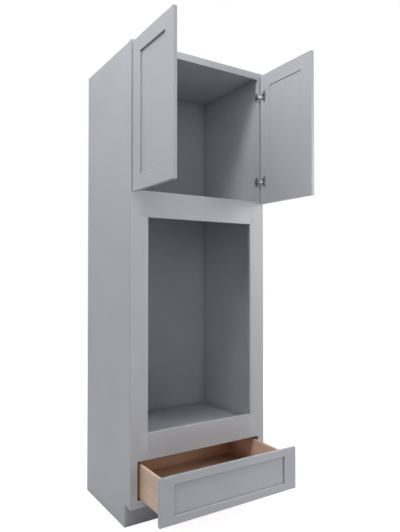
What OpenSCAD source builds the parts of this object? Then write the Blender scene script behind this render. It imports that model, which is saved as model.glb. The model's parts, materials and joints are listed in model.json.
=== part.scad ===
// Tall oven housing cabinet: framed carcass, two panelled doors above an oven cut-out, one drawer below.
// Origin: middle of the back edge on the floor. +X to the right, -Y out of the front, +Z up. Millimetres.

/* [Cabinet] */
// Overall width, across the face frame
cabinet_w = 838.2; // [762:0.1:914.4]
// Depth from the wall to the front of the face frame
cabinet_d = 609.6; // [595:0.1:660]
// Overall height
cabinet_h = 2438.4; // [2300:0.1:2500]
// Thickness of the sides, the top, the deck and the bottom
panel_t = 12.7; // [12:0.1:15]
// Thickness of the back
back_t = 9.5; // [6:0.1:12]
// Thickness of the shelf that carries the oven
oven_floor_t = 19.05; // [16:0.05:25]
// Depth of the grooves in the sides that hold the panels
dado_depth = 6; // [4:0.1:7]
// Height of the toe space
kick_h = 114.3; // [90:0.1:125]
// Depth of the toe space, from the front of the face frame
kick_depth = 76.2; // [60:0.1:90]
// Thickness of the toe-kick board
kick_t = 12.7; // [9:0.1:19]
// Drop of the bottom panel below the drawer opening
bottom_drop = 12.7; // [10:0.1:16]
// Drop of the oven shelf below the cut-out
oven_floor_drop = 69.85; // [60:0.05:95]
// Drop of the upper deck below the upper opening
deck_drop = 3; // [0.5:0.5:20]

/* [Face frame] */
// Thickness of the face frame
frame_t = 19.05; // [18:0.05:22]
// Amount by which the frame stands past each side
frame_overhang = 3.2; // [2:0.1:4]
// Depth of the groove in the stiles that takes the side panels
frame_groove = 6; // [4:0.1:7]
// Width of the stiles
stile_w = 38.1; // [36:0.1:44]
// Height of the top rail
top_rail_h = 38.1; // [28:0.1:60]
// Height of the rail over the cut-out
head_rail_h = 133.35; // [80:0.05:160]
// Height of the rail under the cut-out
sill_rail_h = 133.35; // [120:0.05:160]
// Height of the bottom rail
bottom_rail_h = 38.1; // [30:0.1:60]
// Width of the fillers beside the cut-out
filler_w = 57.15; // [30:0.05:70]
// Height of the oven cut-out
cutout_h = 1079.5; // [1000:0.5:1150]
// Height of the drawer opening
drawer_opening_h = 190.5; // [185:0.1:215]
// Length of the tenons on the rails
tenon_l = 15; // [10:0.5:18]
// Thickness of the tenons on the rails
tenon_t = 8; // [6:0.1:10]
// Height of the shoulders over and under each tenon
tenon_shoulder = 6; // [4:0.5:9]
// Length and thickness of the tongue on each filler
filler_tongue = 6; // [4:0.5:8]

/* [Doors] */
// Angle at which the doors stand open
door_open = 90; // [0:1:100]
// Thickness of the doors and the drawer front
door_t = 19.05; // [18:0.05:22]
// Frame left showing outside each door and the drawer front
side_reveal = 12.7; // [10:0.1:15]
// Frame left showing above the doors
top_reveal = 15; // [10:0.5:18]
// Amount by which the doors and drawer front lap the rails
overlap = 12.7; // [8:0.1:15]
// Gap between the two doors
door_gap = 3.2; // [2:0.1:5]
// Gap between the frame and the backs of the doors and drawer front
back_gap = 2; // [1.8:0.1:2.4]
// Width of the door stiles and rails
member_w = 76.2; // [57:0.1:89]
// Width of the rails of the drawer front
front_rail_w = 38.1; // [32:0.1:60]
// Thickness of the centre panels
centre_t = 6.35; // [5:0.05:7]
// Depth of the centre panels behind the front of their frames
centre_recess = 9.5; // [7:0.1:10]
// Depth of the panel grooves in the doors and drawer front
groove_d = 10; // [7:0.5:12]
// Bevel on the edges of the frames round the centre panels
edge_bevel = 2; // [1:0.1:3]
// Room left for the centre panels to move in their grooves
panel_play = 0.8; // [0.3:0.1:1]
// Radius of the door and drawer bumpers
bumper_r = 4; // [3:0.5:5]
// Thickness of the bumpers
bumper_t = 1.5; // [1:0.1:1.6]
// Distance of the bumpers from the edge that they are nearest to
bumper_in = 7; // [5.5:0.5:8]

/* [Hinges] */
// Distance of the hinges from the top and bottom of the door
hinge_from_end = 127; // [90:1:200]
// Distance of the swing axis from the outer edge of the frame
swing_in = 13.3; // [13:0.1:13.6]
// Distance of the swing axis in front of the frame
swing_out = 10.8; // [10.6:0.1:11]
// Radius of the hinge cup
cup_r = 17.5; // [17.3:0.1:17.8]
// Depth of the hinge cup
cup_depth = 12.5; // [12.2:0.1:13]
// Wood left between the cup and the edge of the door
cup_edge = 5; // [4.8:0.1:5.2]
// Thickness of the cup's steel
cup_sheet = 0.8; // [0.7:0.1:0.9]
// Thickness of the cup's flange
flange_t = 1.2; // [1:0.1:1.3]
// Length of the cup's flange along the door
flange_l = 64; // [60:1:70]
// Width of the wings of the cup's flange
flange_w = 15; // [13:0.5:16]
// Radius of the corners of the cup's flange
flange_corner_r = 6; // [1:0.5:6]
// Spacing of the two screws that hold the cup
cup_screw_gap = 45; // [44:0.5:48]
// Offset of the cup's screws from the middle of the cup
cup_screw_off = 9.5; // [9:0.1:10]
// Radius of the hinge pins
pin_r = 1.25; // [1:0.05:1.3]
// Running clearance round a hinge pin
pin_fit = 0.05; // [0.03:0.01:0.1]
// Radius of the eyes of the hinge link
eye_r = 2.3; // [2.1:0.1:2.4]
// Distance of the link's pin in the cup from the edge of the door
link_edge = 9.2; // [9.1:0.1:9.4]
// Distance between the pins of the hinge link
link_l = 18; // [17.8:0.1:18.2]
// Height of the hinge link
link_h = 11; // [9:0.5:11.5]
// Thickness of the steel of the link and the arm
hinge_sheet = 1.5; // [1.2:0.1:1.6]
// Height of the hinge arm, over its two cheeks
arm_h = 16; // [15.6:0.1:16.4]
// Height of the plate that holds the arm to the frame
arm_plate_h = 50; // [46:1:56]
// Radius of the corners of that plate
plate_corner_r = 4; // [1:0.5:6]
// Spacing of the two screws that hold the arm
arm_screw_gap = 35; // [30:1:38]

/* [Drawer] */
// Distance by which the drawer stands out
drawer_out = 259; // [0:1:520]
// Furthest that the drawer comes out
drawer_travel = 520; // [500:1:530]
// Length of the drawer box
box_l = 533.4; // [525:0.1:536]
// Height of the sides of the drawer box
box_h = 168; // [150:0.5:172]
// Thickness of the sides, front and back of the drawer box
box_t = 15.9; // [13:0.1:16]
// Radius of the upper edges of the drawer box
box_edge_r = 3; // [1:0.5:4]
// Gap between the drawer box and each stile
box_side_gap = 12.7; // [11:0.1:15]
// Gap between the drawer box and the bottom rail
box_lift = 6.35; // [5:0.05:8]
// Height of the drawer bottom above the lower edge of the sides
bottom_up = 12.7; // [12:0.1:14]
// Thickness of the drawer bottom
bottom_t = 6.35; // [5:0.05:9]
// Depth of the groove for the drawer bottom
bottom_groove = 6; // [4:0.5:8]
// Number of dovetails at each corner of the drawer box
tail_count = 4; // [3:1:5]
// Height of the half pin under the lowest dovetail, above the drawer bottom
low_pin_h = 3; // [2:0.5:8]
// Slope of the sides of the dovetails, in degrees
tail_slope = 9; // [7:0.5:12]
// Distance of the front's screws from the sides of the drawer box
front_screw_in = 8; // [7:0.5:12]

/* [Drawer slides] */
// Thickness of the slides' steel
slide_sheet = 1.2; // [1:0.1:1.3]
// Width of the member under the drawer
slide_w = 40; // [38:0.5:44]
// Distance of the slides' front ends behind the front of the drawer box
slide_set_back = 36; // [34:0.5:44]
// Distance of the slides' back ends from the wall
slide_rear_gap = 50; // [46:0.5:54]
// Radius of the rollers
roller_r = 1.4; // [1.2:0.05:1.5]
// Length of each roller cage
cage_l = 200; // [150:5:210]
// Radius of the hook at the back of each slide
hook_pin_r = 2.2; // [1.5:0.1:3]
// Height of the flange that stands against the stile
slide_flange_h = 30; // [26:1:36]

/* [Screws] */
// Radius of the screws' shanks
screw_r = 1.6; // [1.4:0.05:1.9]
// Radius of the screws' heads
head_r = 3.2; // [3:0.1:3.6]
// Height of the screws' heads
head_h = 1.4; // [1:0.1:1.8]

/* [Hidden] */
$fn = 48;

paint = [0.66, 0.67, 0.69];
birch = [0.85, 0.72, 0.58];
ply = [0.52, 0.38, 0.28];
steel = [0.62, 0.63, 0.65];
nylon = [0.86, 0.86, 0.84];
rubber = [0.75, 0.75, 0.74];

fit = 0.1;                 // clearance of every glued or floating joint
hair = 0.01;               // overshoot of a cut past the face that it opens
half_w = cabinet_w / 2;
side_out = half_w - frame_overhang;
side_in = side_out - panel_t;
front_y = -cabinet_d;
frame_back = front_y + frame_t;
frame_mid = front_y + frame_t / 2;
open_half = half_w - stile_w;
cut_half = open_half - filler_w;

// Levels of the openings, from the floor
drawer_z0 = kick_h + bottom_rail_h;
drawer_z1 = drawer_z0 + drawer_opening_h;
cut_z0 = drawer_z1 + sill_rail_h;
cut_z1 = cut_z0 + cutout_h;
upper_z0 = cut_z1 + head_rail_h;
upper_z1 = cabinet_h - top_rail_h;

// Undersides of the four level panels
top_z = cabinet_h - panel_t;
deck_z = upper_z0 - deck_drop - panel_t;
oven_floor_z = cut_z0 - oven_floor_drop - oven_floor_t;
bottom_z = drawer_z0 - bottom_drop - panel_t;

// Door, shut
door_w = half_w - side_reveal - door_gap / 2;
door_x0 = -half_w + side_reveal;
door_x1 = door_x0 + door_w;
door_back = front_y - back_gap;
face_y = door_back - door_t;
door_z0 = upper_z0 - overlap;
door_z1 = cabinet_h - top_reveal;
hinge_levels = [door_z0 + hinge_from_end, door_z1 - hinge_from_end];
bumper_from_edge = 30;

// Drawer front, shut
front_half = half_w - side_reveal;
front_z0 = drawer_z0 - overlap;
front_z1 = drawer_z1 + overlap;

// Left hinge: u runs inwards from the frame's outer edge, v runs back from its front
cup_u = side_reveal + cup_edge + cup_r;
cup_inner_r = cup_r - cup_sheet;
wing_u = cup_u + cup_screw_off;
link_u = side_reveal + link_edge;
link_v = -back_gap - 1.2;
arm_v = -swing_out + 2;          // middle of the slot in the arm's nose
slot_play = 0.4;
slot_r = pin_r + slot_play;
nose_r = slot_r + hinge_sheet;
crank_r = sqrt(pow(link_u - swing_in, 2) + pow(link_v + swing_out, 2));
crank_angle = atan2(link_v + swing_out, link_u - swing_in);
open_limit = 100;
square = 90;
link_rise = (arm_v + swing_out - crank_r * sin(crank_angle)) / link_l;
link_shut = asin(link_rise);
link_square = asin((arm_v + swing_out - crank_r * sin(crank_angle - square)) / link_l);
link_ratio = (link_square - link_shut) / square;
function pin_u(a) = swing_in + crank_r * cos(crank_angle - a) + link_l * cos(link_shut + link_ratio * a);
slot_u0 = pin_u(open_limit);
slot_u1 = pin_u(crank_angle);
arm_u1 = slot_u1 + eye_r + 0.3 + hinge_sheet;
plate_u1 = stile_w + hinge_sheet;
plate_v0 = 0.5;
plate_v1 = frame_t - 1;
arm_v0 = 3;
elbow_l = 6;
elbow_turn = 38;

// Drawer box and slides, shut. s runs inwards from the inner face of the box side, t down from the bottom
box_half = open_half - box_side_gap;
box_inner = box_half - box_t;
box_y0 = door_back;
box_y1 = box_y0 + box_l;
box_z0 = drawer_z0 + box_lift;
bottom_under = box_z0 + bottom_up;
roller_gap = 2 * (roller_r + fit);
web_t = slide_sheet;
middle_top_t = web_t + roller_gap;
middle_under_t = middle_top_t + slide_sheet;
shelf_t = middle_under_t + roller_gap;
shelf_under_t = shelf_t + slide_sheet;
middle_lip_t = shelf_under_t + 1;
drawer_lip_t = middle_lip_t + slide_sheet + 1;
foot_z = drawer_z0 - 2.4;
member_y0 = box_y0 + slide_set_back;
member_y1 = box_y1;
middle_y1 = member_y1 - 17;
cabinet_member_y0 = frame_back + 1.5;
cabinet_member_y1 = -slide_rear_gap;
tongue_y0 = box_y0 + 22;
clip_y0 = box_y0 + box_t;
cage_y0 = member_y0 + drawer_travel / 4 + 4;
wall_s = 2;
hook_s = slide_w / 2;
hook_l = 8;
hook_up = bottom_t + 5;
shelf_end_s = slide_w - 8;
middle_end_s = slide_w - 4;
front_screw_x = box_inner - front_screw_in;

module board(x0, x1, y0, y1, z0, z1) {
    translate([x0, y0, z0]) cube([x1 - x0, y1 - y0, z1 - z0]);
}

module both_sides() {
    children();
    mirror([1, 0, 0]) children();
}

// Rectangle with its upper corners rounded, or all four
module rounded_2d(w, h, r, lower = true) {
    lower_r = lower ? r : 0;
    translate([r, 0]) square([w - 2 * r, h]);
    translate([0, lower_r]) square([w, h - r - lower_r]);
    for (x = [r, w - r], y = lower ? [r, h - r] : [h - r])
        translate([x, y]) circle(r);
}

// Extrudes a y, z outline along x, from x0 to x1
module along_x(x0, x1) {
    translate([x0, 0, 0]) rotate([90, 0, 90]) linear_extrude(x1 - x0) children();
}

module right() {
    mirror([1, 0, 0]) children();
}

// ---- Carcass ----

module deck_board(z, t, grow = 0) {
    reach = side_in + dado_depth - fit;
    board(-reach - grow, reach + grow, frame_back, -back_t, z - grow, z + t + grow);
}

module back_board(grow = 0) {
    reach = side_in + dado_depth - fit;
    board(-reach - grow, reach + grow, -back_t - grow, 0, 0, cabinet_h);
}

module side_panel() {
    difference() {
        board(-side_out, -side_in, frame_back - frame_groove + fit, 0, 0, cabinet_h);
        board(-side_out - 1, -side_in + 1, front_y, front_y + kick_depth, -1, kick_h);
        back_board(fit);
        deck_board(top_z, panel_t + 1, fit);
        deck_board(deck_z, panel_t, fit);
        deck_board(oven_floor_z, oven_floor_t, fit);
        deck_board(bottom_z, panel_t, fit);
    }
}

module left_side_panel() color(paint) side_panel();
module right_side_panel() color(paint) right() side_panel();
module back_panel() color(paint) difference() {
    back_board();
    both_sides() bracket_screw_places() screw_hole(bracket_screw_l);
}
module top_panel() color(paint) deck_board(top_z, panel_t);
module upper_deck() color(paint) deck_board(deck_z, panel_t);
module oven_floor() color(paint) deck_board(oven_floor_z, oven_floor_t);
module bottom_panel() color(paint) deck_board(bottom_z, panel_t);

module toe_kick_board() color(paint * 0.75) {
    kick_y = front_y + kick_depth;
    board(-side_in, side_in, kick_y, kick_y + kick_t, 0, bottom_z);
}

// ---- Face frame ----

module tenons(z0, z1, grow = 0) {
    reach = open_half + tenon_l + grow;
    half_t = tenon_t / 2 + grow;
    board(-reach, reach, frame_mid - half_t, frame_mid + half_t,
        z0 + tenon_shoulder - grow, z1 - tenon_shoulder + grow);
}

module rail(z0, z1) {
    board(-open_half, open_half, front_y, frame_back, z0, z1);
    tenons(z0, z1);
}

module filler_joint(grow = 0) {
    half_t = filler_tongue / 2 + grow;
    board(-open_half - filler_tongue - grow, -open_half + 1, frame_mid - half_t, frame_mid + half_t,
        cut_z0, cut_z1);
}

module filler() {
    board(-open_half, -cut_half, front_y, frame_back, cut_z0, cut_z1);
    filler_joint();
}

module stile() {
    difference() {
        board(-half_w, -open_half, front_y, frame_back, kick_h, cabinet_h);
        board(-side_out - fit, -side_in + fit, frame_back - frame_groove, frame_back + 1,
            kick_h - 1, cabinet_h + 1);
        tenons(kick_h, drawer_z0, fit);
        tenons(drawer_z1, cut_z0, fit);
        tenons(cut_z1, upper_z0, fit);
        tenons(upper_z1, cabinet_h, fit);
        filler_joint(fit);
        arm_screw_holes();
        tab_screw_holes();
    }
}

module left_stile() color(paint) stile();
module right_stile() color(paint) right() stile();
module top_rail() color(paint) rail(upper_z1, cabinet_h);
module head_rail() color(paint) rail(cut_z1, upper_z0);
module sill_rail() color(paint) rail(drawer_z1, cut_z0);
module bottom_rail() color(paint) rail(kick_h, drawer_z0);
module left_filler() color(paint) filler();
module right_filler() color(paint) right() filler();

// ---- Screws ----

// Screw along +Z with its head's underside at the origin and its point below
module screw(length) {
    cylinder(r = head_r, h = head_h);
    translate([0, 0, -length + 2 * screw_r]) cylinder(r = screw_r, h = length - 2 * screw_r + hair);
    translate([0, 0, -length]) cylinder(r1 = 0.4, r2 = screw_r, h = 2 * screw_r);
}

module screw_hole(length) {
    translate([0, 0, -length - fit]) cylinder(r = screw_r + fit / 2, h = length + fit + 1);
}

// ---- Hinges ----

// Places a shape drawn in the left hinge's u, v and height at both hinges of the left door
module at_hinges() {
    for (z = hinge_levels)
        translate([-half_w, front_y, z]) children();
}

module swing(a) {
    translate([swing_in, -swing_out, 0]) rotate([0, 0, -a]) translate([-swing_in, swing_out, 0]) children();
}

// Turns a shut left door about its swing axis to the angle at which it stands
module opened() {
    translate([-half_w, front_y, 0]) swing(door_open) translate([half_w, -front_y, 0]) children();
}

module slab(z_half_low, z_half_high) {
    translate([0, 0, z_half_low]) linear_extrude(z_half_high - z_half_low) children();
    translate([0, 0, -z_half_high]) linear_extrude(z_half_high - z_half_low) children();
}

module slot_2d(r) {
    translate([slot_u0, arm_v]) circle(r);
    translate([slot_u1, arm_v]) circle(r);
    translate([slot_u0, arm_v - r]) square([slot_u1 - slot_u0, 2 * r]);
}

module cheek_2d() {
    difference() {
        union() {
            slot_2d(nose_r);
            translate([slot_u1, arm_v - nose_r]) square([arm_u1 - slot_u1, 2 * nose_r]);
            polygon([[plate_u1 - hair, arm_v0], [plate_u1 + 1, arm_v + nose_r - hair],
                [arm_u1, arm_v + nose_r - hair], [arm_u1, plate_v1 - 3], [arm_u1 - 3, plate_v1 - 1],
                [plate_u1 - hair, plate_v1 - 1]]);
        }
        slot_2d(slot_r);
    }
}

module hinge_arm() {
    cheek_out = arm_h / 2;
    difference() {
        union() {
            slab(cheek_out - hinge_sheet, cheek_out) cheek_2d();
            board(arm_u1 - hinge_sheet, arm_u1, arm_v - nose_r, plate_v1 - 3, -cheek_out, cheek_out);
            along_x(stile_w, plate_u1) translate([plate_v0, -arm_plate_h / 2])
                rounded_2d(plate_v1 - plate_v0, arm_plate_h, plate_corner_r);
        }
        for (z = [-1, 1])
            translate([plate_u1, frame_t / 2, z * arm_screw_gap / 2]) rotate([0, 90, 0])
                screw_hole(hinge_sheet + 1);
    }
}

module hinge_arms() color(steel) both_sides() at_hinges() hinge_arm();

arm_screw_l = 20;
module arm_screw_places() {
    at_hinges()
        for (z = [-1, 1])
            translate([plate_u1, frame_t / 2, z * arm_screw_gap / 2]) rotate([0, 90, 0]) children();
}
module arm_screw_holes() arm_screw_places() screw_hole(arm_screw_l);
module hinge_arm_screws() color(steel * 0.9) both_sides() arm_screw_places() screw(arm_screw_l);

module link_2d() {
    elbow = [elbow_l * cos(elbow_turn), -elbow_l * sin(elbow_turn)];
    reach = [link_l, 0] - elbow;
    reach_angle = atan2(reach[1], reach[0]);
    bar = hinge_sheet * 2;
    circle(eye_r);
    rotate(-elbow_turn) translate([0, -bar / 2]) square([elbow_l, bar]);
    translate(elbow) circle(bar / 2);
    translate(elbow) rotate(reach_angle) translate([0, -bar / 2]) square([norm(reach), bar]);
    translate([link_l, 0]) circle(eye_r);
}

// Link from the pin in the cup to the slot in the arm, with its own pin riveted in the far end
module hinge_link() {
    turn = link_shut + (link_ratio + 1) * door_open;
    inner_half = link_h / 2 - hinge_sheet;
    web = 3;
    swing(door_open) translate([link_u, link_v, 0]) rotate([0, 0, turn]) {
        difference() {
            union() {
                slab(inner_half, link_h / 2) link_2d();
                translate([elbow_l * cos(elbow_turn), -elbow_l * sin(elbow_turn) - web / 2, -link_h / 2])
                    cube([web, web, link_h]);
            }
            cylinder(r = pin_r + pin_fit, h = link_h + 2, center = true);
        }
        translate([link_l, 0, 0]) cylinder(r = pin_r, h = arm_h + 1.2, center = true);
    }
}

module left_hinge_links() color(steel) at_hinges() hinge_link();
module right_hinge_links() color(steel) right() at_hinges() hinge_link();

// Disc of a shut cup, from the front of its flange down into the door
module cup_disc(r, depth, above = 0) {
    translate([cup_u, -back_gap + flange_t + above, 0]) rotate([90, 0, 0])
        cylinder(r = r, h = depth + flange_t + above);
}

// Shut cup: a pressed pan with a winged flange, two ears and the pin that the link turns on
module hinge_cup() {
    ear_in = link_h / 2 + 1.2;
    ear_out = ear_in + hinge_sheet;
    ear_r = eye_r - 0.1;
    floor_v = -back_gap - cup_depth + cup_sheet / 2;
    difference() {
        union() {
            cup_disc(cup_r, cup_depth);
            cup_disc(cup_r + 2, 0);
            translate([wing_u - flange_w / 2, -back_gap, flange_l / 2]) rotate([-90, 0, 0])
                linear_extrude(flange_t) rounded_2d(flange_w, flange_l, flange_corner_r);
        }
        cup_disc(cup_inner_r, cup_depth - cup_sheet, 1);
        for (z = [-1, 1])
            translate([wing_u, -back_gap + flange_t, z * cup_screw_gap / 2]) rotate([-90, 0, 0])
                screw_hole(flange_t + 1);
    }
    intersection() {
        cup_disc(cup_r - cup_sheet / 2, cup_depth);
        union() {
            slab(ear_in, ear_out) {
                translate([link_u, link_v]) circle(ear_r);
                translate([link_u - ear_r, floor_v]) square([2 * ear_r, link_v - floor_v]);
            }
            translate([link_u, link_v, 0]) cylinder(r = pin_r, h = 2 * ear_out, center = true);
        }
    }
}

module left_hinge_cups() color(steel) opened() at_hinges() hinge_cup();
module right_hinge_cups() color(steel) right() opened() at_hinges() hinge_cup();

cup_screw_l = 12;
module cup_screw_places() {
    at_hinges()
        for (z = [-1, 1])
            translate([wing_u, -back_gap + flange_t, z * cup_screw_gap / 2]) rotate([-90, 0, 0]) children();
}
module left_cup_screws() color(steel * 0.9) opened() cup_screw_places() screw(cup_screw_l);
module right_cup_screws() color(steel * 0.9) right() opened() cup_screw_places() screw(cup_screw_l);

// ---- Framed panels: the doors and the drawer front ----

// Space for the centre panel, the stub tenons and their grooves
module panel_space(x0, x1, z0, z1, grow = 0) {
    panel_y = face_y + centre_recess;
    board(x0 - grow, x1 + grow, panel_y - grow, panel_y + centre_t + grow, z0 - grow, z1 + grow);
}

// Cross-section of the waste at a bevelled edge: x across the member, y in from its face
module bevel_waste_2d() {
    polygon([[-edge_bevel - 1, -1], [1, edge_bevel + 1], [1, -1]]);
}

module frame_stile(x0, x1, z0, z1) {
    difference() {
        board(x0, x0 + member_w, face_y, door_back, z0, z1);
        // the groove and the bevel run through both ends
        panel_space(x0 + member_w - groove_d, x1 - member_w + groove_d, z0 - 1, z1 + 1, fit);
        translate([x0 + member_w, face_y, z0 - 1]) linear_extrude(z1 - z0 + 2) bevel_waste_2d();
    }
}

// Lower rail, its ends coped over the stiles' bevels and with a stub tenon in each groove
module frame_rail(x0, x1, z0, z1, rail_w) {
    inner_z = z0 + rail_w;
    in_x = member_w - groove_d;
    difference() {
        union() {
            board(x0 + member_w, x1 - member_w, face_y, door_back, z0, inner_z);
            panel_space(x0 + in_x + fit, x1 - in_x - fit, z0, inner_z);
            for (end = [[x0, 1], [x1, -1]])
                translate([end[0], face_y, z0]) linear_extrude(rail_w)
                    polygon([[end[1] * (member_w - edge_bevel), 0], [end[1] * member_w, 0],
                        [end[1] * member_w, edge_bevel]]);
        }
        panel_space(x0, x1, inner_z - groove_d, z1, fit);
        translate([x0, face_y, inner_z]) rotate([90, 0, 90]) linear_extrude(x1 - x0)
            mirror([1, -1]) bevel_waste_2d();
    }
}

module upper(z0, z1) {
    translate([0, 0, z0 + z1]) mirror([0, 0, 1]) children();
}

module frame_centre(x0, x1, z0, z1, rail_w) {
    in_x = member_w - groove_d + panel_play;
    in_z = rail_w - groove_d + panel_play;
    panel_space(x0 + in_x, x1 - in_x, z0 + in_z, z1 - in_z);
}

// ---- Doors ----

module hinge_stile() {
    difference() {
        frame_stile(door_x0, door_x1, door_z0, door_z1);
        at_hinges() cup_disc(cup_r + fit, cup_depth + fit);
        cup_screw_places() screw_hole(cup_screw_l);
    }
}

module lock_stile() {
    translate([door_x0 + door_x1, 0, 0]) mirror([1, 0, 0]) frame_stile(door_x0, door_x1, door_z0, door_z1);
}

module door_rail() frame_rail(door_x0, door_x1, door_z0, door_z1, member_w);
module door_centre() frame_centre(door_x0, door_x1, door_z0, door_z1, member_w);

module door_bumpers() {
    for (z = [door_z0 + bumper_in, door_z1 - bumper_in])
        translate([door_x1 - bumper_from_edge, door_back + bumper_t, z]) rotate([90, 0, 0])
            cylinder(r = bumper_r, h = bumper_t);
}

module left_door_hinge_stile() color(paint) opened() hinge_stile();
module left_door_lock_stile() color(paint) opened() lock_stile();
module left_door_top_rail() color(paint) opened() upper(door_z0, door_z1) door_rail();
module left_door_bottom_rail() color(paint) opened() door_rail();
module left_door_panel() color(paint) opened() door_centre();
module left_door_bumpers() color(rubber) opened() door_bumpers();
module right_door_hinge_stile() color(paint) right() opened() hinge_stile();
module right_door_lock_stile() color(paint) right() opened() lock_stile();
module right_door_top_rail() color(paint) right() opened() upper(door_z0, door_z1) door_rail();
module right_door_bottom_rail() color(paint) right() opened() door_rail();
module right_door_panel() color(paint) right() opened() door_centre();
module right_door_bumpers() color(rubber) right() opened() door_bumpers();

// ---- Drawer ----

module pulled(share = 1) {
    translate([0, -drawer_out * share, 0]) children();
}

front_screw_l = 28;
module front_screw_places() {
    for (x = [-1, 1], z = [box_z0 + box_h / 3, box_z0 + box_h * 3 / 4])
        translate([x * front_screw_x, box_y0 + box_t, z]) rotate([-90, 0, 0]) children();
}

module front_stile() {
    difference() {
        frame_stile(-front_half, front_half, front_z0, front_z1);
        front_screw_places() screw_hole(front_screw_l);
    }
}

module front_rail() frame_rail(-front_half, front_half, front_z0, front_z1, front_rail_w);

module drawer_front_left_stile() color(paint) pulled() front_stile();
module drawer_front_right_stile() color(paint) pulled() right() front_stile();
module drawer_front_top_rail() color(paint) pulled() upper(front_z0, front_z1) front_rail();
module drawer_front_bottom_rail() color(paint) pulled() front_rail();
module drawer_front_panel() color(paint) pulled()
    frame_centre(-front_half, front_half, front_z0, front_z1, front_rail_w);
module drawer_front_screws() color(steel) pulled() front_screw_places() screw(front_screw_l);

module drawer_bumpers() color(rubber) pulled() both_sides()
    translate([-front_half + bumper_from_edge / 2, door_back + bumper_t, front_z1 - bumper_in])
        rotate([90, 0, 0]) cylinder(r = bumper_r, h = bumper_t);

// Dovetails at one end of a box side, as y and z points: narrow at the shoulder, wide at the end
module tails_2d(grow = 0) {
    low = bottom_up + bottom_t + low_pin_h;
    pitch = (box_h - low) / tail_count;
    flare = box_t * tan(tail_slope);
    half_neck = pitch * 0.38 - flare + grow;
    for (i = [0 : tail_count - 1])
        translate([box_y0, box_z0 + low + (i + 0.5) * pitch])
            polygon([[-hair * sign(grow), -half_neck - flare], [box_t + hair, -half_neck],
                [box_t + hair, half_neck], [-hair * sign(grow), half_neck + flare]]);
}

module both_ends() {
    children();
    translate([box_y0 + box_y1, 0, 0]) mirror([1, 0, 0]) children();
}

module bottom_board(grow = 0) {
    reach_x = box_inner + bottom_groove - fit + grow;
    y_in = box_t - bottom_groove + fit - grow;
    board(-reach_x, reach_x, box_y0 + y_in, box_y1 - y_in,
        bottom_under - grow, bottom_under + bottom_t + grow);
}

module box_side() {
    difference() {
        intersection() {
            along_x(-box_half, -box_inner) {
                translate([box_y0 + box_t, box_z0]) square([box_l - 2 * box_t, box_h]);
                both_ends() tails_2d();
            }
            translate([-box_half, box_y1 + hair, box_z0]) rotate([90, 0, 0])
                linear_extrude(box_l + 2 * hair) rounded_2d(box_t, box_h, box_edge_r, false);
        }
        bottom_board(fit);
    }
}

module box_end() {
    difference() {
        along_x(-box_half, box_half) translate([box_y0, box_z0])
            rounded_2d(box_t, box_h, box_edge_r, false);
        both_sides() along_x(-box_half - 1, -box_inner) tails_2d(fit / 2);
        bottom_board(fit);
    }
}

module drawer_left_side() color(birch) pulled() box_side();
module drawer_right_side() color(birch) pulled() right() box_side();
module drawer_box_front() color(birch) pulled() difference() {
    box_end();
    front_screw_places() screw_hole(box_t + 1);
}
// The back is notched for the slides and bored for their hooks
module drawer_box_back() color(birch) pulled() difference() {
    translate([0, box_y0 + box_y1, 0]) mirror([0, 1, 0]) box_end();
    both_sides() {
        strip(0, slide_w + 1, 0, bottom_up + 1, box_y1 - box_t - 1, box_y1 + 1);
        hook_pin(fit);
    }
}
module drawer_bottom() color(ply) pulled() bottom_board();

// ---- Drawer slides, drawn for the left one ----

// A strip of sheet steel: s from s0 to s1 inwards, t from t0 to t1 down
module strip(s0, s1, t0, t1, y0, y1) {
    board(-box_inner + s0, -box_inner + s1, y0, y1, bottom_under - t1, bottom_under - t0);
}

// Pin of the hook at the back of a slide
module hook_pin(grow = 0) {
    translate([-box_inner + hook_s, box_y1 + hair, bottom_under + hook_up]) rotate([90, 0, 0])
        cylinder(r = hook_pin_r + grow, h = hook_l + grow);
}

member_s0 = 0.5;
hook_tab_half_w = 8;
hook_tab_over = 4;
drawer_lip_w = 7;
tongue_s0 = 4;
module drawer_member() {
    tab_s0 = hook_s - hook_tab_half_w;
    tab_s1 = hook_s + hook_tab_half_w;
    tab_y1 = member_y1 + slide_sheet;
    lip_t1 = drawer_lip_t + slide_sheet;
    strip(member_s0, slide_w, 0, web_t, member_y0, member_y1);
    strip(tab_s0, tab_s1, 0, web_t, member_y1 - hair, tab_y1);
    strip(tab_s0, tab_s1, -hook_up - hook_tab_over, web_t, member_y1, tab_y1);
    hook_pin();
    strip(slide_w - slide_sheet, slide_w, 0, lip_t1, member_y0, member_y1);
    strip(slide_w - drawer_lip_w, slide_w, drawer_lip_t, lip_t1, member_y0, member_y1);
    strip(tongue_s0, middle_end_s, 0, web_t, tongue_y0, member_y0 + hair);
}

middle_s0 = 8;
module middle_member() {
    strip(middle_s0, middle_end_s, middle_top_t, middle_under_t, member_y0, middle_y1);
    strip(middle_end_s - slide_sheet, middle_end_s, middle_top_t, middle_lip_t + slide_sheet,
        member_y0, middle_y1);
    strip(slide_w / 2, middle_end_s, middle_lip_t, middle_lip_t + slide_sheet, member_y0, middle_y1);
}

module cabinet_member(y0, y1, grow = 0) {
    wall_x = -box_inner + wall_s;
    shelf_x = -box_inner + shelf_end_s;
    shelf_z = bottom_under - shelf_t;
    tab = slide_sheet + grow;
    board(-open_half - grow, -open_half + tab, y0, y1, foot_z - grow, foot_z + slide_flange_h + grow);
    board(-open_half - grow, wall_x + tab, y0, y1, foot_z - grow, foot_z + tab);
    shelf_y0 = max(y0, member_y0);
    board(wall_x - grow, wall_x + tab, shelf_y0, y1, foot_z - grow, shelf_z + grow);
    board(wall_x - grow, shelf_x + grow, shelf_y0, y1, shelf_z - tab, shelf_z + grow);
}

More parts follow.
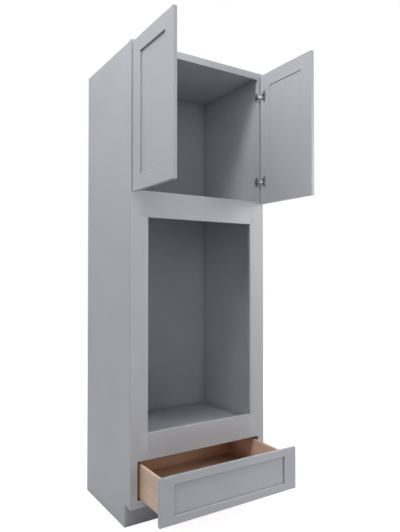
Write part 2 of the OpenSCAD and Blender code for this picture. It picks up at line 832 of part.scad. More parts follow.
tab_screw_l = 20;
tab_from_front = 2;
tab_from_rail = 1;
module tab_screw_places() {
    for (z = [foot_z + slide_flange_h * 0.36, foot_z + slide_flange_h * 0.78])
        translate([-open_half + slide_sheet, frame_mid, z]) rotate([0, 90, 0]) children();
}
module tab_screw_holes() tab_screw_places() screw_hole(tab_screw_l);

module slide_cabinet_members() color(steel) both_sides() difference() {
    union() {
        cabinet_member(cabinet_member_y0, cabinet_member_y1);
        board(-open_half, -open_half + slide_sheet, front_y + tab_from_front, cabinet_member_y0 + hair,
            drawer_z0 + tab_from_rail, foot_z + slide_flange_h);
    }
    tab_screw_places() screw_hole(slide_sheet + 1);
}

bracket_plate_t = 2.5;
bracket_over = 22;         // height of its plate above the slide's flange
bracket_under = 8;
bracket_outwards = 6;
bracket_inwards = 5;
socket_l = 12;             // length of slide that its socket holds
socket_wall = 4;
bracket_screw_l = 9;
bracket_screw_in = 10;
bracket_screw_down = 9;
bracket_top = foot_z + slide_flange_h + bracket_over;
bracket_x0 = -open_half - bracket_outwards;
bracket_x1 = -box_inner + shelf_end_s + bracket_inwards;
module bracket_screw_places() {
    for (x = [bracket_x0 + bracket_screw_in, bracket_x1 - bracket_screw_in])
        translate([x, -back_t - bracket_plate_t, bracket_top - bracket_screw_down])
            rotate([90, 0, 0]) children();
}

module rear_bracket() {
    difference() {
        union() {
            board(bracket_x0, bracket_x1, -back_t - bracket_plate_t, -back_t,
                foot_z - bracket_under, bracket_top);
            board(bracket_x0, bracket_x1, cabinet_member_y1 - socket_l, -back_t - bracket_plate_t + hair,
                foot_z - socket_wall, foot_z + slide_flange_h + socket_wall);
        }
        cabinet_member(cabinet_member_y1 - socket_l - 1, cabinet_member_y1 + fit, fit);
        bracket_screw_places() screw_hole(bracket_plate_t + 1);
    }
}

module slide_rear_brackets() color(nylon) both_sides() rear_bracket();

module slide_screws() color(steel * 0.9) both_sides() {
    tab_screw_places() screw(tab_screw_l);
    bracket_screw_places() screw(bracket_screw_l);
}

clip_s0 = 1;
clip_grip_w = 20;
clip_deep = 11;
clip_gap = 2;
clip_lap = 16;             // length over which it stands beside the slide
module clip() {
    strip(clip_s0, slide_w + clip_grip_w, web_t, clip_deep, clip_y0, member_y0 - clip_gap);
    strip(slide_w + fit, slide_w + clip_grip_w, 0, clip_deep, clip_y0, member_y0 + clip_lap);
}

module slide_drawer_members() color(steel) pulled() both_sides() drawer_member();
module drawer_clips() color(nylon) pulled() both_sides() clip();
module slide_middle_members() color(steel) pulled(0.5) both_sides() middle_member();

roller_count = 5;
cage_w = 20;
cage_half_t = 0.5;
cage_edge = 1;
lower_cage_s0 = 9;
upper_cage_s0 = 10;

// A cage strip with its rollers across it, between two steel faces
module roller_cage(t, s0) {
    middle_t = t + roller_gap / 2;
    strip(s0, s0 + cage_w, middle_t - cage_half_t, middle_t + cage_half_t, cage_y0, cage_y0 + cage_l);
    for (i = [0 : roller_count - 1])
        translate([-box_inner + s0 + cage_edge, cage_y0 + cage_l * (i + 0.5) / roller_count,
            bottom_under - middle_t])
            rotate([0, 90, 0]) cylinder(r = roller_r, h = cage_w - 2 * cage_edge);
}

module slide_lower_rollers() color(nylon) pulled(0.25) both_sides()
    roller_cage(middle_under_t, lower_cage_s0);
module slide_upper_rollers() color(nylon) pulled(0.75) both_sides()
    roller_cage(web_t, upper_cage_s0);

left_side_panel();
right_side_panel();
back_panel();
top_panel();
upper_deck();
oven_floor();
bottom_panel();
toe_kick_board();
left_stile();
right_stile();
top_rail();
head_rail();
sill_rail();
bottom_rail();
left_filler();
right_filler();
hinge_arms();
hinge_arm_screws();
slide_cabinet_members();
slide_rear_brackets();
slide_screws();
left_door_hinge_stile();
left_door_lock_stile();
left_door_top_rail();
left_door_bottom_rail();
left_door_panel();
left_hinge_cups();
left_cup_screws();
left_door_bumpers();
left_hinge_links();
right_door_hinge_stile();
right_door_lock_stile();
right_door_top_rail();
right_door_bottom_rail();
right_door_panel();
right_hinge_cups();
right_cup_screws();
right_door_bumpers();
right_hinge_links();
drawer_front_left_stile();
drawer_front_right_stile();
drawer_front_top_rail();
drawer_front_bottom_rail();
drawer_front_panel();
drawer_left_side();
drawer_right_side();
drawer_box_front();
drawer_box_back();
drawer_bottom();
drawer_front_screws();
drawer_bumpers();
slide_drawer_members();
drawer_clips();
slide_middle_members();
slide_lower_rollers();
slide_upper_rollers();
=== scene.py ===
"""Looks of the tall oven cabinet: sprayed boards, a birch drawer box, plated hinges and slides."""
import json
import math

import bpy
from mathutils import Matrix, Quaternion, Vector

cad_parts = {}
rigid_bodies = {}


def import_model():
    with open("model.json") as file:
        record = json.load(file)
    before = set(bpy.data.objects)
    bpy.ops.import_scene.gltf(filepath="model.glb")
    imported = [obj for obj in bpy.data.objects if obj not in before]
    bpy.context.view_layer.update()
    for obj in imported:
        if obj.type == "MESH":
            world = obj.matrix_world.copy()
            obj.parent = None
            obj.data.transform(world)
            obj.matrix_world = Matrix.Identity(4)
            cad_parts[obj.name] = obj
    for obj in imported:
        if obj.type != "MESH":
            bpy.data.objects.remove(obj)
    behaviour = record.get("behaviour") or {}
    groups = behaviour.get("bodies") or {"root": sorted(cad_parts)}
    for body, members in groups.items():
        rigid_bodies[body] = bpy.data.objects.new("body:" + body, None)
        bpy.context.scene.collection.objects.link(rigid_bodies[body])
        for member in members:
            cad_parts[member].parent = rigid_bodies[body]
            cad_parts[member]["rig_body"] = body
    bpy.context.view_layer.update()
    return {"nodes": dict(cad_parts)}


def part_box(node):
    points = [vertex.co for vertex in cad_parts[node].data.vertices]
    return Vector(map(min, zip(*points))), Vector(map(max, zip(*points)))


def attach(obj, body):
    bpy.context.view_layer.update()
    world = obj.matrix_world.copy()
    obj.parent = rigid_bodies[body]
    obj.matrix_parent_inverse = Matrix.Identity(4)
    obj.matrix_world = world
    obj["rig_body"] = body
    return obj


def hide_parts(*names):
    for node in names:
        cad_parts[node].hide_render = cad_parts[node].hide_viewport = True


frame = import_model()

MM = 0.001
NODES = frame["nodes"]
bpy.context.scene.view_settings.view_transform = "Standard"


# ---- Camera, at the photograph's place ----

CAMERA_PLACE = (-1.473, -2.8874, 1.263)
CAMERA_TURN = math.radians(32.609)
CAMERA_RISE = math.radians(1.0735)
LENS_MM = 34.2


def add_camera():
    camera = bpy.data.objects.new("camera", bpy.data.cameras.new("camera"))
    bpy.context.scene.collection.objects.link(camera)
    camera.location = CAMERA_PLACE
    camera.rotation_euler = (math.radians(90) + CAMERA_RISE, 0, -CAMERA_TURN)
    camera.data.lens = LENS_MM
    bpy.context.scene.camera = camera


# ---- Materials ----

# Colours
GREY = (0.453, 0.461, 0.492)
INNER_GREY = (0.474, 0.480, 0.524)
KICK_GREY = (0.385, 0.39, 0.41)
BIRCH_LIGHT = (0.82, 0.61, 0.48)
BIRCH_DARK = (0.66, 0.48, 0.37)
# Drawer bottom birch, darker than the sides' birch: painted shade of the box's inside
SHADED_PLY_LIGHT = (0.68, 0.46, 0.33)
SHADED_PLY_DARK = (0.54, 0.36, 0.25)
PORE = (0.74, 0.66, 0.58)
END_GRAIN = (0.80, 0.72, 0.66)
WHITE = (1, 1, 1)

# Painted shade: occlusion darkens each finish's colour in joints, recesses and corners; reach, tint of
# the deepest places, and the openness from which it ends
FRONT_PAINTED_SHADE = (12 * MM, (0.66, 0.66, 0.68), 0.95)
INNER_PAINTED_SHADE = (60 * MM, (0.78, 0.78, 0.80), 0.95)
BOX_PAINTED_SHADE = (120 * MM, (0.66, 0.53, 0.42), 0.95)
STEEL_PAINTED_SHADE = (6 * MM, (0.45, 0.45, 0.45), 0.95)
PAINTED_SHADE_DEEPEST = 0.45
PAINTED_SHADE_SAMPLES = 12

# Textures, in cycles per metre: across and along the grain, or alike in all directions
PAINT_GRAIN = (420, 9)
BIRCH_FIGURE = (26, 1.6)
BIRCH_PORES = (900, 22)
DRAW_LINES = (2600, 60)
PAINT_CLOUD = (3.1, 3.1, 3.1)
ORANGE_PEEL = (900, 900, 900)
STEEL_CLOUD = (60, 60, 60)
SPARK_GRAIN = (1400, 1400, 1400)

# Heights of the reliefs
PAINT_GRAIN_RELIEF = 0.10 * MM
PEEL_RELIEF = 0.06 * MM
PORE_RELIEF = 0.08 * MM
DRAW_RELIEF = 0.02 * MM
SPARK_RELIEF = 0.04 * MM

# Roughness
PAINT_ROUGHNESS = 0.42
KICK_ROUGHNESS = 0.55
LACQUER_ROUGHNESS = (0.52, 0.36)
PAINT_SPECULAR = 0.45
PORE_SHARE = 0.55


def fresh_material(name):
    material = bpy.data.materials.new(name)
    material.use_nodes = True
    return material, material.node_tree.nodes, material.node_tree.links


def stretched_noise(nodes, links, scale, detail=4.0, roughness=0.5):
    """Noise on Object coordinates; scale is its cycles per metre along X, Y and Z."""
    coordinates = nodes.new("ShaderNodeTexCoord")
    mapping = nodes.new("ShaderNodeMapping")
    mapping.inputs["Scale"].default_value = scale
    noise = nodes.new("ShaderNodeTexNoise")
    noise.inputs["Scale"].default_value = 1.0
    noise.inputs["Detail"].default_value = detail
    noise.inputs["Roughness"].default_value = roughness
    links.new(coordinates.outputs["Object"], mapping.inputs["Vector"])
    links.new(mapping.outputs["Vector"], noise.inputs["Vector"])
    return noise


def ramp(nodes, links, factor, stops):
    """Colour ramp over a factor; stops are (position, colour) pairs."""
    node = nodes.new("ShaderNodeValToRGB")
    elements = node.color_ramp.elements
    while len(elements) < len(stops):
        elements.new(0.5)
    for element, (position, colour) in zip(elements, stops):
        element.position = position
        element.color = (*colour, 1)
    links.new(factor, node.inputs["Fac"])
    return node


def spread(nodes, links, factor, low, high):
    """Maps a factor from 0..1 to low..high."""
    node = nodes.new("ShaderNodeMapRange")
    node.inputs["To Min"].default_value = low
    node.inputs["To Max"].default_value = high
    links.new(factor, node.inputs["Value"])
    return node


def multiplied(nodes, links, first, second, share):
    """First colour times the second, by a share."""
    node = nodes.new("ShaderNodeMix")
    node.data_type = "RGBA"
    node.blend_type = "MULTIPLY"
    node.inputs["Factor"].default_value = share
    links.new(first, node.inputs["A"])
    links.new(second, node.inputs["B"])
    return node


def painted_crevice_shade(nodes, links, colour, painted_shade):
    """Paints shade into a finish's colour in joints and recesses, by occlusion; the last argument is its
    reach, its tint and where it ends.
    """
    reach, darkest, clear = painted_shade
    occlusion = nodes.new("ShaderNodeAmbientOcclusion")
    occlusion.samples = PAINTED_SHADE_SAMPLES
    occlusion.inputs["Distance"].default_value = reach
    stops = [(PAINTED_SHADE_DEEPEST, darkest), (clear, WHITE)]
    shade_of = ramp(nodes, links, occlusion.outputs["AO"], stops)
    return multiplied(nodes, links, colour, shade_of.outputs["Color"], 1.0).outputs["Result"]


def bump(nodes, links, height, distance, strength, under=None):
    """Relief of a texture, over another relief if one is given."""
    node = nodes.new("ShaderNodeBump")
    node.inputs["Distance"].default_value = distance
    node.inputs["Strength"].default_value = strength
    links.new(height, node.inputs["Height"])
    if under:
        links.new(under.outputs["Normal"], node.inputs["Normal"])
    return node


def along(axis, fine, coarse):
    """Scale of a grain that runs along an axis: fine across it, coarse with it."""
    return tuple(coarse if letter == axis else fine for letter in "XYZ")


def tinted(colour, share):
    """A colour made darker or lighter by a share."""
    return tuple(min(c * share, 1) for c in colour)


def painted(name, colour, axis, painted_shade, roughness=PAINT_ROUGHNESS):
    """Sprayed satin paint: a fine orange peel over the faint grain of the wood beneath, with painted
    shade in its joints and recesses.
    """
    material, nodes, links = fresh_material(name)
    shader = nodes["Principled BSDF"]
    cloud = stretched_noise(nodes, links, PAINT_CLOUD, detail=3.0)
    grain = stretched_noise(nodes, links, along(axis, *PAINT_GRAIN), detail=5.0, roughness=0.6)
    peel = stretched_noise(nodes, links, ORANGE_PEEL, detail=2.0)
    stops = [(0.3, tinted(colour, 0.965)), (0.7, tinted(colour, 1.03))]
    tint = ramp(nodes, links, cloud.outputs["Fac"], stops)
    # painted shade: the paint's colour darkens in its joints and recesses
    shaded = painted_crevice_shade(nodes, links, tint.outputs["Color"], painted_shade)
    links.new(shaded, shader.inputs["Base Color"])
    sheen = spread(nodes, links, grain.outputs["Fac"], roughness - 0.05, roughness + 0.07)
    links.new(sheen.outputs["Result"], shader.inputs["Roughness"])
    telegraph = bump(nodes, links, grain.outputs["Fac"], PAINT_GRAIN_RELIEF, 0.35)
    surface = bump(nodes, links, peel.outputs["Fac"], PEEL_RELIEF, 0.5, telegraph)
    links.new(surface.outputs["Normal"], shader.inputs["Normal"])
    shader.inputs["Specular IOR Level"].default_value = PAINT_SPECULAR
    return material


def end_grain_tint(nodes, links, axis):
    """Darkens the faces that the grain runs into, such as the pins of a dovetail."""
    coordinates = nodes.new("ShaderNodeTexCoord")
    split = nodes.new("ShaderNodeSeparateXYZ")
    facing = nodes.new("ShaderNodeMath")
    facing.operation = "ABSOLUTE"
    links.new(coordinates.outputs["Normal"], split.inputs["Vector"])
    links.new(split.outputs[axis], facing.inputs[0])
    return ramp(nodes, links, facing.outputs["Value"], [(0.80, WHITE), (0.95, END_GRAIN)])


def birch_wood(name, axis, light, dark):
    """Clear-lacquered birch: long pale figure, fine pores and a low sheen, with painted shade in its
    corners and depths.
    """
    material, nodes, links = fresh_material(name)
    shader = nodes["Principled BSDF"]
    figure = stretched_noise(nodes, links, along(axis, *BIRCH_FIGURE), detail=5.0, roughness=0.6)
    pores = stretched_noise(nodes, links, along(axis, *BIRCH_PORES), detail=3.0, roughness=0.7)
    middle = tuple((a + b) / 2 for a, b in zip(light, dark))
    tint = ramp(nodes, links, figure.outputs["Fac"], [(0.30, dark), (0.48, middle), (0.66, light)])
    pore_tint = ramp(nodes, links, pores.outputs["Fac"], [(0.30, PORE), (0.55, WHITE)])
    wood = multiplied(nodes, links, tint.outputs["Color"], pore_tint.outputs["Color"], PORE_SHARE)
    ends = end_grain_tint(nodes, links, axis)
    cut_wood = multiplied(nodes, links, wood.outputs["Result"], ends.outputs["Color"], 1.0)
    # painted shade: the birch darkens, warm-tinted, in the box's corners and depths
    shaded = painted_crevice_shade(nodes, links, cut_wood.outputs["Result"], BOX_PAINTED_SHADE)
    links.new(shaded, shader.inputs["Base Color"])
    sheen = spread(nodes, links, pores.outputs["Fac"], *LACQUER_ROUGHNESS)
    links.new(sheen.outputs["Result"], shader.inputs["Roughness"])
    surface = bump(nodes, links, pores.outputs["Fac"], PORE_RELIEF, 0.5)
    links.new(surface.outputs["Normal"], shader.inputs["Normal"])
    return material


def plated(name, colour, axis, roughness, painted_shade):
    """Zinc or nickel plate with the faint draw lines of pressed steel, and painted shade in its nooks."""
    material, nodes, links = fresh_material(name)
    shader = nodes["Principled BSDF"]
    shader.inputs["Metallic"].default_value = 1.0
    lines = stretched_noise(nodes, links, along(axis, *DRAW_LINES), detail=3.0)
    cloud = stretched_noise(nodes, links, STEEL_CLOUD, detail=2.0)
    tint = ramp(nodes, links, cloud.outputs["Fac"], [(0.3, tinted(colour, 0.86)), (0.7, colour)])
    # painted shade: the steel darkens in its nooks
    shaded = painted_crevice_shade(nodes, links, tint.outputs["Color"], painted_shade)
    links.new(shaded, shader.inputs["Base Color"])
    sheen = spread(nodes, links, lines.outputs["Fac"], roughness - 0.06, roughness + 0.1)
    links.new(sheen.outputs["Result"], shader.inputs["Roughness"])
    surface = bump(nodes, links, lines.outputs["Fac"], DRAW_RELIEF, 0.5)
    links.new(surface.outputs["Normal"], shader.inputs["Normal"])
    return material


def moulded(name, colour, roughness):
    """Moulded nylon or rubber with a fine spark-eroded texture."""
    material, nodes, links = fresh_material(name)
    shader = nodes["Principled BSDF"]
    grain = stretched_noise(nodes, links, SPARK_GRAIN, detail=2.0)
    tint = ramp(nodes, links, grain.outputs["Fac"], [(0.35, tinted(colour, 0.93)), (0.65, colour)])
    links.new(tint.outputs["Color"], shader.inputs["Base Color"])
    sheen = spread(nodes, links, grain.outputs["Fac"], roughness - 0.06, roughness + 0.06)
    links.new(sheen.outputs["Result"], shader.inputs["Roughness"])
    surface = bump(nodes, links, grain.outputs["Fac"], SPARK_RELIEF, 0.6)
    links.new(surface.outputs["Normal"], shader.inputs["Normal"])
    return material


front_paint = {
    axis: painted(f"front_paint_{axis.lower()}", GREY, axis, FRONT_PAINTED_SHADE) for axis in "XYZ"}
inner_paint = {
    axis: painted(f"inner_paint_{axis.lower()}", INNER_GREY, axis, INNER_PAINTED_SHADE) for axis in "XYZ"}
kick_paint = painted("kick_paint", KICK_GREY, "X", INNER_PAINTED_SHADE, KICK_ROUGHNESS)
birch = {axis: birch_wood(f"birch_{axis.lower()}", axis, BIRCH_LIGHT, BIRCH_DARK) for axis in "XY"}
# the drawer bottom's darker birch is painted shade
shaded_drawer_ply = birch_wood("shaded_drawer_ply", "X", SHADED_PLY_LIGHT, SHADED_PLY_DARK)
hinge_steel = plated("hinge_steel", (0.60, 0.595, 0.58), "Z", 0.30, STEEL_PAINTED_SHADE)
# the links' steel is a paler, glossier copy of the hinge steel: painted highlight on the links
highlit_link_steel = plated("highlit_link_steel", (0.72, 0.71, 0.69), "Z", 0.22, STEEL_PAINTED_SHADE)
slide_steel = plated("slide_steel", (0.50, 0.51, 0.52), "Y", 0.34, STEEL_PAINTED_SHADE)
screw_steel = plated("screw_steel", (0.46, 0.46, 0.46), "Z", 0.24, STEEL_PAINTED_SHADE)
nylon = moulded("nylon", (0.62, 0.62, 0.60), 0.5)
bumper_rubber = moulded("bumper_rubber", (0.55, 0.55, 0.53), 0.4)


def wear(obj, material):
    """Gives an object one finish."""
    obj.data.materials.clear()
    obj.data.materials.append(material)


# ---- Steps of modelling ----

SHARP = math.radians(40)
SMOOTH = math.radians(35)
SAME_FACE = math.radians(1)
SAME_PLACE = 0.01 * MM


def take_up(obj):
    """Makes one object the only one that is selected, and active."""
    bpy.ops.object.select_all(action="DESELECT")
    obj.select_set(True)
    bpy.context.view_layer.objects.active = obj


def pick(obj, kind, test):
    """Goes into edit mode with just the faces or the edges selected that pass a test."""
    bpy.ops.object.mode_set(mode="EDIT")
    bpy.ops.mesh.select_mode(type=kind)
    bpy.ops.mesh.select_all(action="DESELECT")
    bpy.ops.object.mode_set(mode="OBJECT")
    parts = obj.data.polygons if kind == "FACE" else obj.data.edges
    for part in parts:
        part.select = test(part)
    bpy.ops.object.mode_set(mode="EDIT")


def shade(obj):
    """Smooth over rounded edges, while the flat faces stay flat."""
    bpy.ops.object.mode_set(mode="OBJECT")
    take_up(obj)
    bpy.ops.object.shade_smooth_by_angle(angle=SMOOTH)
    even = obj.modifiers.new("even", "WEIGHTED_NORMAL")
    even.weight = 100
    even.keep_sharp = True
    bpy.ops.object.modifier_apply(modifier=even.name)


def clean_copy(node, name):
    """A copy of a CAD node's mesh with its triangles joined into whole faces."""
    copy = bpy.data.objects.new(name, NODES[node].data.copy())
    bpy.context.scene.collection.objects.link(copy)
    take_up(copy)
    bpy.ops.object.mode_set(mode="EDIT")
    bpy.ops.mesh.select_mode(type="EDGE")
    bpy.ops.mesh.select_all(action="SELECT")
    bpy.ops.mesh.remove_doubles(threshold=SAME_PLACE)
    bpy.ops.mesh.dissolve_limited(angle_limit=SAME_FACE)
    bpy.ops.object.mode_set(mode="OBJECT")
    return copy


def bends(mesh):
    """Angle between the two faces at each edge, by the edge's vertices."""
    normals = {}
    for polygon in mesh.polygons:
        for key in polygon.edge_keys:
            normals.setdefault(key, []).append(polygon.normal)
    return {key: pair[0].angle(pair[1]) for key, pair in normals.items() if len(pair) == 2}


def round_edges(obj, radius, test, segments=3):
    """Bevels the edges that are bent by more than SHARP and pass a test on their two ends."""
    bpy.ops.object.mode_set(mode="OBJECT")
    take_up(obj)
    mesh = obj.data
    bend = bends(mesh)

    def wanted(edge):
        ends = [mesh.vertices[i].co for i in edge.vertices]
        return bend.get(tuple(sorted(edge.vertices)), 0) > SHARP and test(*ends)

    pick(obj, "EDGE", wanted)
    bpy.ops.mesh.bevel(offset=radius, segments=segments, affect="EDGES", clamp_overlap=True)
    bpy.ops.object.mode_set(mode="OBJECT")


def stand_in(piece, node, material):
    """Gives a piece its finish and puts it in the place of a CAD node, on the same body."""
    wear(piece, material)
    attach(piece, NODES[node]["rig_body"])
    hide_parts(node)


# ---- Boards ----

HARDWARE = ("hinge_arm", "hinge_links", "slide", "screws", "cups", "bumpers", "clips", "rollers")
INNER_BOARDS = ("left_side_panel", "right_side_panel", "back_panel", "top_panel", "upper_deck",
                "oven_floor", "bottom_panel")
BOX_WALLS = ("drawer_left_side", "drawer_right_side", "drawer_box_front", "drawer_box_back")
SHORTEST_EDGE = 8 * MM
FRONT_EDGE = 1.8 * MM
FRAME_EDGE = 1.5 * MM
PANEL_EDGE = 0.5 * MM
BOX_EDGE = 2.0 * MM

boards = [node for node in NODES if not any(word in node for word in HARDWARE)]


def touching(first, second, slack=0.5 * MM):
    """Whether two boxes touch."""
    return all(first[0][i] - slack <= second[1][i] and second[0][i] - slack <= first[1][i]
               for i in range(3))


def within(point, box, slack=0.3 * MM):
    """Whether a point lies in a box or on it."""
    return all(box[0][i] - slack <= point[i] <= box[1][i] + slack for i in range(3))


def neighbours_of(node):
    """Boxes of the boards of the same body that touch a board."""
    body = NODES[node]["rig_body"]
    others = [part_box(other) for other in boards if other != node and NODES[other]["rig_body"] == body]
    return [other for other in others if touching(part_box(node), other)]


def eased_board(node, radius, material):
    """A board whose open edges are rounded; edges that lie at a joint stay sharp, so it closes up."""
    low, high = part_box(node)
    neighbours = neighbours_of(node)
    lengths = high - low
    axis = max(range(3), key=lambda i: lengths[i])
    board = clean_copy(node, f"{node}_eased")
    bpy.ops.object.mode_set(mode="EDIT")
    for cut in sorted({round(corner[axis], 5) for box in neighbours for corner in box}):
        if low[axis] + MM < cut < high[axis] - MM:
            place, normal = [0, 0, 0], [0, 0, 0]
            place[axis], normal[axis] = cut, 1
            bpy.ops.mesh.select_all(action="SELECT")
            bpy.ops.mesh.bisect(plane_co=place, plane_no=normal)

    def is_open(start, end):
        middle = (start + end) / 2
        return (end - start).length > SHORTEST_EDGE and not any(within(middle, box) for box in neighbours)

    round_edges(board, radius, is_open)
    shade(board)
    stand_in(board, node, material)


def grain_of(node):
    """Direction of a board's grain, which is its long side."""
    low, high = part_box(node)
    return "XYZ"[max(range(3), key=lambda i: (high - low)[i])]


def edge_of(node):
    """Radius of a board's edges: the box walls are rounded the most, panels the least."""
    if "door" in node or "drawer_front" in node:
        return FRONT_EDGE
    if node in BOX_WALLS:
        return BOX_EDGE
    if "stile" in node or "rail" in node or "filler" in node:
        return FRAME_EDGE
    return PANEL_EDGE


def finish_of_board(node):
    """Finish of a board, with the grain along its long side."""
    if node == "toe_kick_board":
        return kick_paint
    if node == "drawer_bottom":
        return shaded_drawer_ply
    if node in BOX_WALLS:
        return birch[grain_of(node)]
    if node in INNER_BOARDS:
        return inner_paint[grain_of(node)]
    return front_paint[grain_of(node)]


# ---- Pressed steel and moulded pieces: copies with softened edges ----

# Radius of each kind's edges, and the length under which an edge stays sharp
HINGE_EDGE, HINGE_SHORTEST = 0.25 * MM, 1.2 * MM
SLIDE_EDGE, SLIDE_SHORTEST = 0.4 * MM, 8 * MM
NYLON_EDGE, NYLON_SHORTEST = 0.8 * MM, 4 * MM
BUMPER_EDGE = 1.0 * MM


def softened(node, radius, material, shortest):
    """A pressed or moulded node whose sharp edges, if longer than the shortest, are softened."""
    piece = clean_copy(node, f"{node}_soft")
    round_edges(piece, radius, lambda start, end: (end - start).length > shortest, segments=2)
    shade(piece)
    stand_in(piece, node, material)


def bumper(node):
    """Soft button whose free rim is rounded; the rim on the board stays flat."""
    boards_beside = neighbours_of(node)
    button = clean_copy(node, f"{node}_rounded")
    round_edges(button, BUMPER_EDGE, lambda start, end: not any(
        within((start + end) / 2, box) for box in boards_beside), segments=4)
    shade(button)
    stand_in(button, node, bumper_rubber)


# ---- Screws: one of each length is modelled, then copied to its places ----

HEAD_R = 3.2 * MM
HEAD_H = 1.4 * MM
SHANK_R = 1.6 * MM
POINT_L = 3 * MM
CROSS_L = 3.4 * MM
CROSS_W = 0.75 * MM
CROSS_DEEP = 1.0 * MM
CROSS_TAPER = 0.45
POINT_TAPER = 0.2
DOME = 0.7 * HEAD_H
SCREW_TURN_DEGREES = 37
ARM_SCREW_IN = 9.5 * MM
ARM_SCREW_PROUD = 0.6 * MM
ARM_SCREW_L = 7 * MM


def cut_out(obj, cutter):
    """Takes one closed shape out of another."""
    take_up(obj)
    cut = obj.modifiers.new("cut", "BOOLEAN")
    cut.operation = "DIFFERENCE"
    cut.solver = "EXACT"
    cut.object = cutter
    bpy.ops.object.modifier_apply(modifier=cut.name)
    bpy.data.objects.remove(cutter)


def cross_bar(turn):
    """One bar of the cross recess, narrower at its foot."""
    bpy.ops.object.select_all(action="DESELECT")
    bpy.ops.mesh.primitive_cube_add(size=1, location=(0, 0, 0))
    bar = bpy.context.object
    bar.scale = (CROSS_L, CROSS_W, 2 * CROSS_DEEP)
    bar.rotation_euler = (0, 0, turn)
    bpy.ops.object.transform_apply(location=True, rotation=True, scale=True)
    pick(bar, "FACE", lambda face: face.normal.z < -0.9)
    bpy.ops.transform.resize(value=(CROSS_TAPER, CROSS_TAPER, 1))
    bpy.ops.object.mode_set(mode="OBJECT")
    return bar


def modelled_screw(length):
    """A screw that points down from the origin: domed head, cross recess, shank and point."""
    bpy.ops.object.select_all(action="DESELECT")
    bpy.ops.mesh.primitive_cylinder_add(vertices=32, radius=HEAD_R, depth=HEAD_H,
                                        location=(0, 0, -HEAD_H / 2))
    screw = bpy.context.object
    bpy.ops.object.transform_apply(location=True)
    pick(screw, "FACE", lambda face: face.normal.z < -0.9)
    bpy.ops.mesh.inset(thickness=HEAD_R - SHANK_R)
    bpy.ops.mesh.extrude_region_move(
        TRANSFORM_OT_translate={"value": (0, 0, HEAD_H + POINT_L - length)})
    bpy.ops.mesh.extrude_region_move(TRANSFORM_OT_translate={"value": (0, 0, -POINT_L)})
    bpy.ops.transform.resize(value=(POINT_TAPER, POINT_TAPER, 1))
    round_edges(screw, DOME, lambda start, end: min(start.z, end.z) > -SAME_PLACE, segments=4)
    for turn in (0, math.radians(90)):
        cut_out(screw, cross_bar(turn))
    shade(screw)
    return screw


def loose_parts(node):
    """Corners of every loose part of a CAD node, from the lowest, leftmost part on."""
    whole = clean_copy(node, f"{node}_parts")
    bpy.ops.object.mode_set(mode="EDIT")
    bpy.ops.mesh.select_all(action="SELECT")
    bpy.ops.mesh.separate(type="LOOSE")
    bpy.ops.object.mode_set(mode="OBJECT")
    parts = []
    for part in list(bpy.context.selected_objects):
        parts.append([vertex.co.copy() for vertex in part.data.vertices])
        bpy.data.objects.remove(part)

    def middle_of(points):
        return tuple(round(c, 4) for c in sum(points, Vector()) / len(points))

    return sorted(parts, key=middle_of)


def limits(points):
    """Lowest and highest corner of the box round some points."""
    low = Vector(min(point[i] for point in points) for i in range(3))
    high = Vector(max(point[i] for point in points) for i in range(3))
    return low, high


def screw_place(points):
    """Top of a screw's head, the way it faces and its length, from the corners of its solid."""
    low, high = limits(points)
    size, middle = high - low, (low + high) / 2
    axis = max(range(3), key=lambda i: size[i])

    def off_axis(point):
        return sum((point[i] - middle[i]) ** 2 for i in range(3) if i != axis)

    widest = max(points, key=off_axis)
    outward = Vector((0, 0, 0))
    outward[axis] = 1 if widest[axis] > middle[axis] else -1
    return middle + outward * size[axis] / 2, outward, size[axis]


def set_screws(name, places):
    """Copies of the modelled screws at their places, each left at its own turn, as one piece."""
    patterns, screws = {}, []
    for number, (top, outward, length) in enumerate(places):
        key = round(length, 5)
        if key not in patterns:
            patterns[key] = modelled_screw(length)
        screw = bpy.data.objects.new(f"{name}_{number}", patterns[key].data.copy())
        bpy.context.scene.collection.objects.link(screw)
        screw.rotation_mode = "QUATERNION"
        own_turn = Quaternion((0, 0, 1), math.radians(SCREW_TURN_DEGREES * number))
        screw.rotation_quaternion = outward.to_track_quat("Z", "Y") @ own_turn
        screw.location = top
        take_up(screw)
        bpy.ops.object.transform_apply(location=True, rotation=True, scale=True)
        screws.append(screw)
    for pattern in patterns.values():
        bpy.data.objects.remove(pattern)
    take_up(screws[0])
    for screw in screws:
        screw.select_set(True)
    bpy.ops.object.join()
    screws[0].name = name
    return screws[0]


def arm_screw_place(points):
    """Adjusting screw of a hinge arm: on its flat back, over the middle of its plate."""
    low, high = limits(points)
    outward = Vector((1 if high.x < 0 else -1, 0, 0))
    back = high.x if high.x < 0 else low.x
    middle = Vector((back, high.y - ARM_SCREW_IN, (low.z + high.z) / 2))
    return middle + outward * ARM_SCREW_PROUD, outward, ARM_SCREW_L


# ---- The stage ----

WORLD_LIGHT = 0.10
WORLD_BLUE = (0.93, 0.95, 1.0)
FLOOR_GREY = (0.42, 0.42, 0.43)
FLOOR_GLOW = 0.9
FLOOR_ROUGHNESS = 0.9
FLOOR_SIZE = 40

# Lamps: place, where they point, width and height, and power
LAMPS = {
    "overhead": ((0, -0.9, 4.6), (0, -0.6, 1.4), (3, 3), 48),
    "left_key": ((-3.2, -1.6, 3.8), (0, -0.8, 1.7), (2, 2), 54),
    "top_left": ((-2, -1.65, 4.6), (0, -0.6, 1.9), (0.8, 0.8), 42),
    "top_front": ((-0.5, -1.6, 4.4), (0.1, -0.6, 1.9), (0.8, 0.8), 14),
    "front_fill": ((-4.4, -8.3, 3.4), (0, -0.5, 1.6), (4.8, 4.8), 113),
    "right_gloss": ((2.1, -2.7, 1.8), (0.1, -0.6, 1.4), (0.8, 1.8), 38),
    "back_fill": ((1.8, 3.6, 3.2), (0, 0, 1.3), (2.5, 2.5), 80),
}


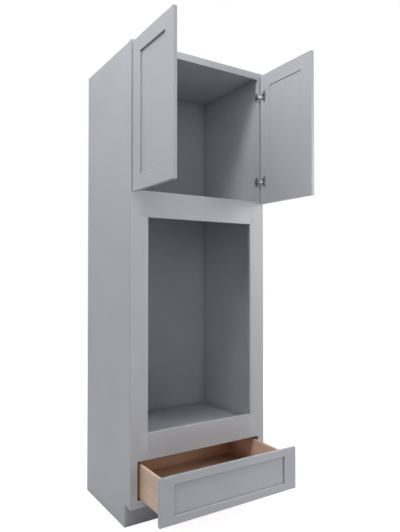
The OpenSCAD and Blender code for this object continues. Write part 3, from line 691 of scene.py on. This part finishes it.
def add_maths(nodes, links, operation, first, second):
    """A sum or product of two values, each a number or another node's output."""
    node = nodes.new("ShaderNodeMath")
    node.operation = operation
    for socket, value in zip(node.inputs, (first, second)):
        if isinstance(value, (int, float)):
            socket.default_value = value
        else:
            links.new(value, socket)
    return node


def seen_white(nodes, links):
    """1 for the rays that see the background: straight, mirrored or through glass."""
    path = nodes.new("ShaderNodeLightPath")
    camera, glossy = path.outputs["Is Camera Ray"], path.outputs["Is Glossy Ray"]
    direct = add_maths(nodes, links, "ADD", camera, glossy)
    through = path.outputs["Is Transmission Ray"]
    seen = add_maths(nodes, links, "ADD", direct.outputs["Value"], through)
    seen.use_clamp = True
    return seen.outputs["Value"]


def add_floor():
    bpy.ops.object.select_all(action="DESELECT")
    bpy.ops.mesh.primitive_plane_add(size=FLOOR_SIZE, location=(0, 0, 0))
    floor = bpy.context.object
    floor.name = "floor"
    material, nodes, links = fresh_material("pale_floor")
    shader = nodes["Principled BSDF"]
    shader.inputs["Base Color"].default_value = (*FLOOR_GREY, 1)
    shader.inputs["Roughness"].default_value = FLOOR_ROUGHNESS
    strength = add_maths(nodes, links, "MULTIPLY", seen_white(nodes, links), FLOOR_GLOW)
    glow = nodes.new("ShaderNodeEmission")
    links.new(strength.outputs["Value"], glow.inputs["Strength"])
    both = nodes.new("ShaderNodeAddShader")
    links.new(shader.outputs["BSDF"], both.inputs[0])
    links.new(glow.outputs["Emission"], both.inputs[1])
    links.new(both.outputs["Shader"], nodes["Material Output"].inputs["Surface"])
    wear(floor, material)


def add_world():
    world = bpy.data.worlds.new("studio")
    bpy.context.scene.world = world
    world.use_nodes = True
    nodes, links = world.node_tree.nodes, world.node_tree.links
    air = nodes["Background"]
    air.inputs["Color"].default_value = (*WORLD_BLUE, 1)
    air.inputs["Strength"].default_value = WORLD_LIGHT
    white = nodes.new("ShaderNodeBackground")
    white.inputs["Color"].default_value = (1, 1, 1, 1)
    choose = nodes.new("ShaderNodeMixShader")
    links.new(seen_white(nodes, links), choose.inputs["Fac"])
    links.new(air.outputs["Background"], choose.inputs[1])
    links.new(white.outputs["Background"], choose.inputs[2])
    links.new(choose.outputs["Shader"], nodes["World Output"].inputs["Surface"])


def add_lamp(name, place, target, size, power):
    lamp = bpy.data.objects.new(name, bpy.data.lights.new(name, "AREA"))
    bpy.context.scene.collection.objects.link(lamp)
    lamp.location = place
    lamp.rotation_euler = (Vector(target) - Vector(place)).to_track_quat("-Z", "Y").to_euler()
    lamp.data.shape = "RECTANGLE"
    lamp.data.size, lamp.data.size_y = size
    lamp.data.energy = power


add_camera()
add_floor()
add_world()
for lamp_name, (place, target, size, power) in LAMPS.items():
    add_lamp(lamp_name, place, target, size, power)


# ---- The pieces ----

for board_node in boards:
    eased_board(board_node, edge_of(board_node), finish_of_board(board_node))

adjusters = set_screws("arm_adjusters", map(arm_screw_place, loose_parts("hinge_arms")))
wear(adjusters, screw_steel)
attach(adjusters, NODES["hinge_arms"]["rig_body"])
for name in ("left_hinge_cups", "right_hinge_cups", "hinge_arms"):
    softened(name, HINGE_EDGE, hinge_steel, HINGE_SHORTEST)
for name in ("left_hinge_links", "right_hinge_links"):
    softened(name, HINGE_EDGE, highlit_link_steel, HINGE_SHORTEST)
for name in ("slide_cabinet_members", "slide_middle_members", "slide_drawer_members"):
    softened(name, SLIDE_EDGE, slide_steel, SLIDE_SHORTEST)
for name in ("slide_rear_brackets", "drawer_clips"):
    softened(name, NYLON_EDGE, nylon, NYLON_SHORTEST)
for name in list(NODES):
    if "screws" in name:
        screws = set_screws(f"{name}_set", map(screw_place, loose_parts(name)))
        stand_in(screws, name, screw_steel)
    if "bumpers" in name:
        bumper(name)
    if "rollers" in name:
        wear(NODES[name], nylon)
